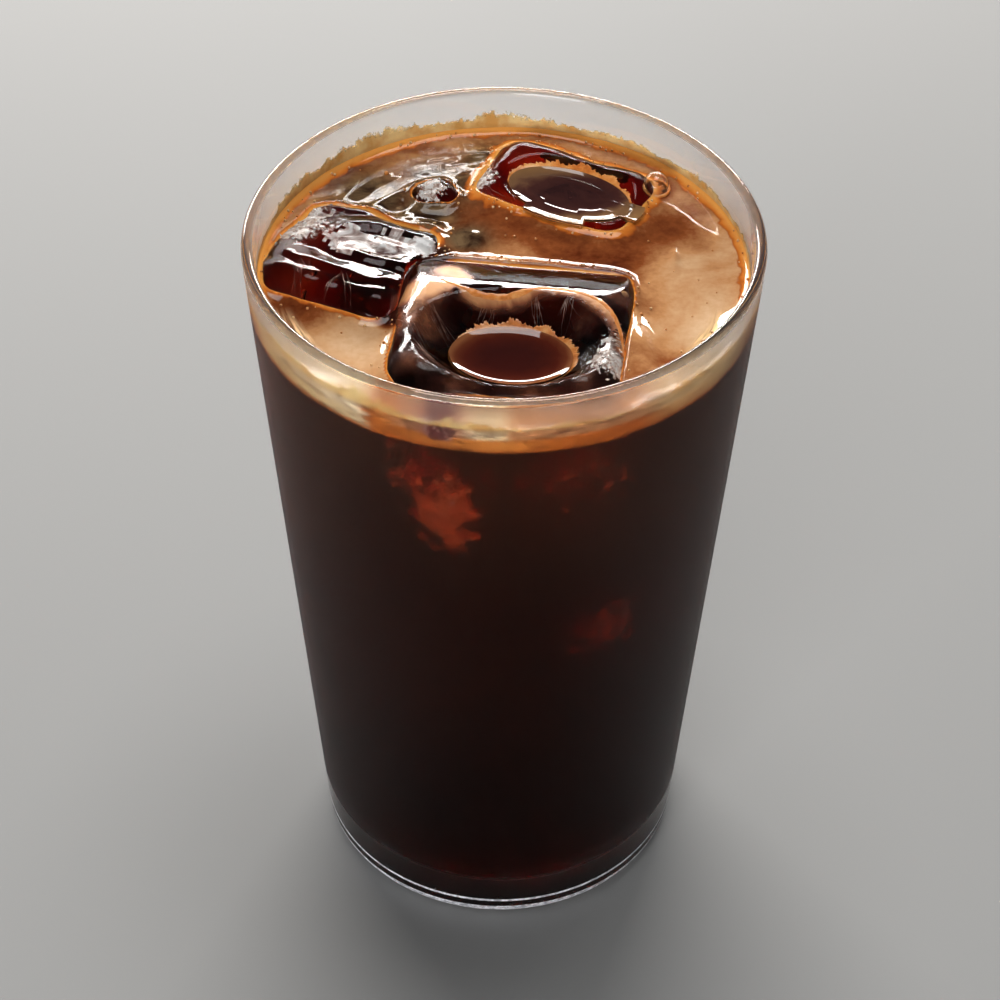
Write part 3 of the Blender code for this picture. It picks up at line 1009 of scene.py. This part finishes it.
def makeFoamLine(top, mat):
    bm = bmesh.new()
    bmesh.ops.create_grid(bm, x_segments=220, y_segments=8, size=1)
    for vert in bm.verts:
        share, across = (vert.co.x + 1) / 2, vert.co.y
        spot, way = alongLine(foamLine, share)
        wide = 0.42 + 0.12 * noiseOf(share * 14, 0, 2) + 0.10 * noiseOf(share * 60, 3, 2)
        wide *= min(1.0, share * 9, (1 - share) * 9 + 0.05)
        edge = 0.16 * noiseOf(share * 40, across * 2, 7)
        at = spot + Vector((-way.y, way.x)) * (across * wide + edge)
        vert.co = restOn(top, at.x, at.y, 0.02 + 0.13 * (1 - across * across) * min(1.0, wide / 0.3))
    bmesh.ops.solidify(bm, geom=bm.faces[:], thickness=0.08 * mm)
    bmesh.ops.recalc_face_normals(bm, faces=bm.faces[:])
    finishPiece("foamLine", bm, mat)


def filmMaterial():
    mat = newMaterial("tanFilm", {"Roughness": 0.5, "IOR": 1.33, "Coat Weight": 0.8, "Coat Roughness": 0.04})
    film = attribute(mat, "film")
    thick = plus(mat, film, swing(mat, 0.9, noiseAt(mat, 330, 3, 0.5, 0.6)))
    stops = [(0.2, (84, 36, 26)), (0.5, (150, 92, 62)), (0.75, (206, 150, 104)), (1.0, (224, 168, 114))]
    tint(mat, thick, stops)
    shown = plus(mat, film, times(mat, noiseAt(mat, 420, 4, 0.6), 0.5))
    feed(mat, "Alpha", ramp(mat, shown, [(0.36, (0, 0, 0, 1)), (0.85, (0.94, 0.94, 0.94, 1))]))
    return mat


def makeFilm(top):
    bm = bmesh.new()
    bmesh.ops.create_grid(bm, x_segments=200, y_segments=170, size=1)
    line = [alongLine(foamLine, i / 80)[0] for i in range(81)]
    dropX, dropY, dropWide = filmSpots["drop"]
    midX, midY, halfX, halfY = filmSpots["area"]
    film = []
    for vert in bm.verts:
        x, y = midX + halfX * vert.co.x, midY + halfY * vert.co.y
        near = min(line, key=lambda spot: (spot.x - x) ** 2 + (spot.y - y) ** 2)
        away = hypot(near.x - x, near.y - y)
        inFront = max(0.0, 1 - away / filmSpots["under"]) if y < near.y and x > near.x - 2 else 0.0
        spots = blobs(filmSpots["spots"], x, y)
        amount = min(1.0, 0.95 * inFront + sum(a * s[3] for a, s in zip(spots, filmSpots["spots"])))
        film.append(amount * (1 - exp(-((x - dropX) ** 2 + 0.5 * (y - dropY) ** 2) / dropWide ** 4)))
        vert.co = restOn(top, x, y, 0.05)
    addValues(finishPiece("tanFilm", bm, filmMaterial()), "film", film)


def makeFibresAndGlints(tops, mat):
    bm = bmesh.new()
    tip = Euler((1.2, 0, 0)).to_matrix().to_4x4()
    for name, start, end, spread, count in fibresAndGlints:
        for i in range(count):
            first = Vector((start[0] + random.gauss(0, spread * 0.5), start[1] + random.gauss(0, 0.4)))
            last = Vector((end[0] + random.gauss(0, spread), end[1] + between(0, 4.5)))
            thick = between(0.03, 0.06) * mm
            bend = between(-0.5, 0.5)
            previous = None
            for k in range(15):
                t = k / 14
                at = first.lerp(last, t) + Vector((bend * sin(t * 3.1) + 0.12 * noiseOf(t * 6, i, 3), 0))
                place = Matrix.Translation(restOn(tops[name], at.x, at.y, 0.02)) @ tip
                wide = max(0.008 * mm, thick * (1 - 0.85 * abs(2 * t - 0.7)))
                ends = k in (0, 14)
                made = bmesh.ops.create_circle(bm, segments=5, radius=wide, cap_ends=ends, matrix=place)
                edges = [e for e in {e for v in made["verts"] for e in v.link_edges}
                         if all(v in made["verts"] for v in e.verts)]
                if previous:
                    bmesh.ops.bridge_loops(bm, edges=previous + edges)
                previous = edges
    bmesh.ops.recalc_face_normals(bm, faces=bm.faces[:])
    finishPiece("iceFibresAndGlints", bm, mat)


# Foam left on the glass above the drink, bubbles, and cloudy ice that glows through the drink

lacing = {
    "low": 121.4, "line": 122.3, "high": 127.0,  # mm
    # how far the film reaches up the wall: angle and spread in degrees, height in mm
    "reaches": [(90, 18, 3.8), (60, 16, 2.4), (125, 22, 4.4), (150, 14, 3.2), (35, 14, 2.6), (10, 14, 1.6),
                (-20, 16, 1.4), (215, 14, 3.0), (238, 12, 4.6), (262, 12, 2.6), (285, 10, 1.5),
                (318, 14, 2.2), (180, 14, 1.4)],
}


def lacingMaterial():
    mat = newMaterial("driedFoam", {"Roughness": 0.9, "IOR": 1.05, "Transmission Weight": 0.3})
    tint(mat, noiseAt(mat, 300, 4, 0.6), [(0.35, (230, 188, 118)), (0.6, (252, 230, 176))])
    flecks = noiseAt(mat, 1100, 5, 0.68, 0.5)
    streaks = noiseAt(mat, 420, 4, 0.6, 0.4, (1, 1, 0.35))
    both = plus(mat, times(mat, flecks, 0.55), times(mat, streaks, 0.45))
    shown = plus(mat, both, times(mat, attribute(mat, "film"), 0.62))
    feed(mat, "Alpha", fade(mat, shown, 0.72, 0.84))
    roughen(mat, flecks, 0.4, 0.1)
    return mat


def makeLacing():
    low, high = lacing["low"] * mm, lacing["high"] * mm
    heights = [low + (high - low) * i / 28 for i in range(29)]
    profile = [(innerRadius(z) + 0.02 * mm, z) for z in heights]
    profile += [(innerRadius(z) - 0.07 * mm, z) for z in reversed(heights)]
    bm = spun(profile + profile[:1], 300)
    film = []
    for vert in bm.verts:
        turn = degrees(atan2(vert.co.y, vert.co.x))
        reach = 0.9
        for middle, spread, height in lacing["reaches"]:
            away = abs((turn - middle + 180) % 360 - 180)
            reach = max(reach, height * exp(-(away / spread) ** 2))
        reach *= 1 + 0.5 * noiseOf(turn / 2.5, 0, 4) + 0.35 * noiseOf(turn / 0.9, 2, 1)
        film.append(clamp(1 - (vert.co.z / mm - lacing["line"]) / reach))
    addValues(finishPiece("driedFoamFilm", bm, lacingMaterial()), "film", film)


bubbles = {
    "count": 260,
    "size": (0.10, 0.26),
    "large": [(18.4, -6.2, 0.55), (-19.5, 26.5, 0.4), (30.5, -17.5, 0.4)],  # x, y and radius in mm
    "end": (24.7, 22.4, 122.3),  # the largest, at the right end of the back block
}


def outOf(tree, spot):
    near, normal = tree.find_nearest(spot)[:2]
    return (spot - near).dot(normal) >= 0


def makeBubbles(trees):
    # small foam bubbles that gather along the waterlines
    bm = bmesh.new()
    level = drink["level"]
    brim = innerRadius(level + drink["meniscus"])
    made = 0
    while made < bubbles["count"]:
        turn, reach = between(0, 2 * pi), sqrt(random.random()) * (innerRadius(level) - 0.3 * mm)
        spot = Vector((reach * cos(turn), reach * sin(turn), level))
        near = min(toIce(trees, spot), innerRadius(level) - reach)
        inIce = not all(outOf(tree, spot) for tree in trees.values())
        if inIce or (near > 1.4 * mm and random.random() > 0.06):
            continue
        size = between(*bubbles["size"]) * mm
        spot.z += surfaceRise(trees, spot, brim) + size * 0.2
        addBall(bm, Matrix.Translation(spot), 2, size)
        made += 1
    for x, y, size in bubbles["large"]:
        spot = Vector((x, y, 0)) * mm
        spot.z = level + surfaceRise(trees, spot, brim) + 0.1 * mm
        addBall(bm, Matrix.Translation(spot), 3, size * mm)
    mat = newMaterial("foamBubbles", {"Roughness": 0.1, "IOR": 1.36})
    tint(mat, noiseAt(mat, 500), [(0.4, (206, 140, 80)), (0.6, (240, 206, 160))])
    finishPiece("foamBubbles", bm, mat)


def makeBigBubble(foam):
    # one large thin bubble at the right end of the back block
    middle = Vector(bubbles["end"]) * mm
    collar = ringTube(2.2, 0.28, 10, 72)
    for vert in collar.verts:
        vert.co += Vector((0, 0, 0.12 * mm * noise.noise(vert.co / mm / 0.6)))
    bmesh.ops.translate(collar, vec=middle - Vector((0, 0, 0.9 * mm)), verts=collar.verts[:])
    bmesh.ops.recalc_face_normals(collar, faces=collar.faces[:])
    finishPiece("bubbleCollar", collar, foam)
    bm = bmesh.new()
    addBall(bm, Matrix.Translation(middle), 4, 2.1 * mm)
    addBall(bm, Matrix.Translation(middle), 4, 2.0 * mm, inward=True)
    mat = newMaterial("bubbleSkin", {
        "Base Color": (1.0, 0.93, 0.82, 1), "Transmission Weight": 1.0, "IOR": 1.33, "Roughness": 0.0})
    roughen(mat, noiseAt(mat, 500, 2), 0.25, 0.3)
    finishPiece("largeBubble", bm, mat)


# Cloudy flakes in the ice: middle, spread, how many, and the size of a flake, in mm
clouds = {
    "glowFront": ((-8.4, -36.4, 103.4), (1.9, 0.4, 3.0), 260, 1.1),
    "glowFrontTail": ((-7.8, -36.4, 98.4), (0.7, 0.3, 1.4), 40, 0.8),
    "glowFrontTop": ((-10.5, -33.9, 109.0), (3.4, 0.8, 3.6), 120, 1.0),
    "glowFrontHigh": ((9.5, -34.2, 111), (4.5, 0.8, 3.4), 100, 0.9),
    "glowLow": ((16, -30.2, 74), (3.6, 0.9, 2.6), 130, 1.0),
    "glowSpot": ((13.0, -31.6, 73.9), (1.1, 0.12, 0.35), 18, 0.5),
    "glowSpotDrop": ((14.2, -31.2, 73.0), (0.25, 0.12, 0.6), 8, 0.45),
}


def makeFrost(tops):
    # crumbs of ice on the rough places of the blocks
    bm = bmesh.new()
    for name, spec in iceBlocks.items():
        for (x, y, z), wide in spec["frost"]:
            for i in range(round(7 * wide * wide)):
                reach, turn = wide * sqrt(random.random()), between(0, 2 * pi)
                start = Vector((x + reach * cos(turn), y + 1.2 * reach * sin(turn), z + 9)) * mm
                spot, normal = tops[name].ray_cast(start, Vector((0, 0, -1)))[:2]
                if not spot or spot.z < drink["level"] + 0.3 * mm or noise.noise(spot / mm / 1.8) < -0.12:
                    continue
                size = between(0.12, 0.5) * mm
                flake = Matrix.Diagonal((size, size * between(0.4, 1), size * between(0.2, 0.5), 1))
                lean = anyTurn()
                place = Matrix.Translation(spot + normal * size * between(-0.25, 0.15))
                addBall(bm, place @ lean @ flake, 1)
    mat = newMaterial("iceCrumbs", {
        "Roughness": 0.25, "IOR": 1.31, "Coat Weight": 0.6, "Coat Roughness": 0.1})
    tint(mat, noiseAt(mat, 700), [(0.35, (196, 170, 156)), (0.55, (255, 250, 246))])
    finishPiece("iceCrumbs", bm, mat, (), 20)


def makeClouds():
    bm = bmesh.new()
    for middle, spread, count, size in clouds.values():
        for i in range(count):
            spot = Vector([random.gauss(m, s) for m, s in zip(middle, spread)]) * mm
            keepIn(spot, innerRadius(spot.z) - 0.8 * mm)
            turn = anyTurn()
            big = size * between(0.5, 1.2) * mm
            flake = Matrix.Diagonal((big, big * between(0.4, 0.9), big * 0.14, 1))
            addBall(bm, Matrix.Translation(spot) @ turn @ flake, 1)
    mat = newMaterial("cloudyIce", {"Roughness": 0.9, "IOR": 1.31})
    tint(mat, noiseAt(mat, 400), [(0.35, (0.8, 0.8, 0.8, 1)), (0.55, (1, 1, 1, 1))])
    finishPiece("cloudyFlakes", bm, mat)


# Setting: pale floor, soft light and the photo's camera

def makeStage():
    bm = bmesh.new()
    bmesh.ops.create_grid(bm, x_segments=2, y_segments=2, size=2.0)
    floor = newObject("floor", bm)
    mat = newMaterial("paleFloor", {"Base Color": (0.34, 0.34, 0.336, 1), "Roughness": 0.8})
    floor.data.materials.append(mat)
    floor.location.z = -0.05 * mm


def addLight(name, place, aim, size, power, colour=(1, 1, 1)):
    data = bpy.data.lights.new(name, "AREA")
    data.shape = "RECTANGLE"
    data.size, data.size_y = size
    data.energy = power
    data.color = colour
    lamp = bpy.data.objects.new(name, data)
    lamp.location = place
    lamp.rotation_euler = (Vector(aim) - Vector(place)).to_track_quat("-Z", "Y").to_euler()
    bpy.context.scene.collection.objects.link(lamp)


def makeLight():
    world = bpy.data.worlds.new("studio")
    bpy.context.scene.world = world
    world.use_nodes = True
    sky = world.node_tree.nodes["Background"]
    sky.inputs["Color"].default_value = (0.95, 0.97, 1.0, 1)
    sky.inputs["Strength"].default_value = 0.10
    aim = (0, 0, 0.1)
    addLight("windowBack", (-0.12, 0.95, 0.40), aim, (1.1, 0.24), 17, (1.0, 0.97, 0.94))
    addLight("softTop", (0.05, 0.16, 0.95), aim, (0.5, 0.4), 4.2)
    addLight("softFront", (-0.35, -1.0, 0.28), aim, (0.6, 0.3), 8.5)
    bpy.context.scene.view_settings.view_transform = "Standard"
    bpy.context.scene.view_settings.gamma = 0.85
    bpy.context.scene.view_settings.exposure = 0.1


camera = {
    "distance": 452.5 * mm, "elevation": 42.577, "roll": 0.516, "aimHeight": 72.57 * mm,
    "lens": 95.95, "shift": -0.0018,
}


def makeCamera():
    c = camera
    tip = radians(c["elevation"])
    data = bpy.data.cameras.new("camera")
    data.lens = c["lens"]
    data.sensor_width = 36
    data.shift_x = c["shift"]
    data.clip_start = 0.01
    seen = bpy.data.objects.new("camera", data)
    away, up = c["distance"] * cos(tip), c["distance"] * sin(tip)
    seen.matrix_world = (
        Matrix.Translation((0, -away, c["aimHeight"] + up))
        @ Matrix.Rotation(radians(90) - tip, 4, "X") @ Matrix.Rotation(radians(c["roll"]), 4, "Z"))
    bpy.context.scene.collection.objects.link(seen)
    bpy.context.scene.camera = seen


makeTumbler()
print("tumbler made")
ice = iceMaterial()
frosted = frostMaterial("frostedIce", [(150, 112, 96), (226, 208, 196), (255, 252, 248)], 900, 0.8)
# white marbled ice: painted reflections on the left block's top
glareIce = frostMaterial("paintedGlareIce", [(120, 72, 62), (206, 188, 180), (255, 253, 250)], 170, 2.2)
# pinkish white streaks for the fibres, partly painted highlights
fibreGlintIce = frostMaterial("fibreAndGlintIce", [(112, 62, 50), (166, 116, 98), (220, 186, 170)], 700, 0.5)
for blockName, block in iceBlocks.items():
    makeIce(blockName, block, ice, frosted, glareIce)
for blockName, block in sunkIce.items():
    makeSunkIce(blockName, block, ice)
print("ice made")
makeCoffee()
print("coffee made")
trees = {name: iceTree({**spec, "hollow": None}, 18) for name, spec in iceBlocks.items()}
tops = {name: iceTree(spec, 40) for name, spec in iceBlocks.items()}
makeCrema(trees)
makeLacing()
makeBubbles(trees)
foam = foamMaterial()
makeBigBubble(foam)
makeClouds()
makeFrost(tops)
print("crema made")
for poolName, pool in pools.items():
    plan = poolPlan(pool, tops[pool["ice"]])
    rim = poolRim(*plan[:2])
    makePool(poolName, pool, poolMaterial(poolName, pool["colours"]), plan, rim)
    makeFoamRing(pool, foam, plan, rim)
makeFoamLine(tops["ice_front"], foam)
makeFilm(tops["ice_front"])
makeFibresAndGlints(tops, fibreGlintIce)
print("pools made")
makeStage()
makeLight()
makeCamera()
print("setting made")
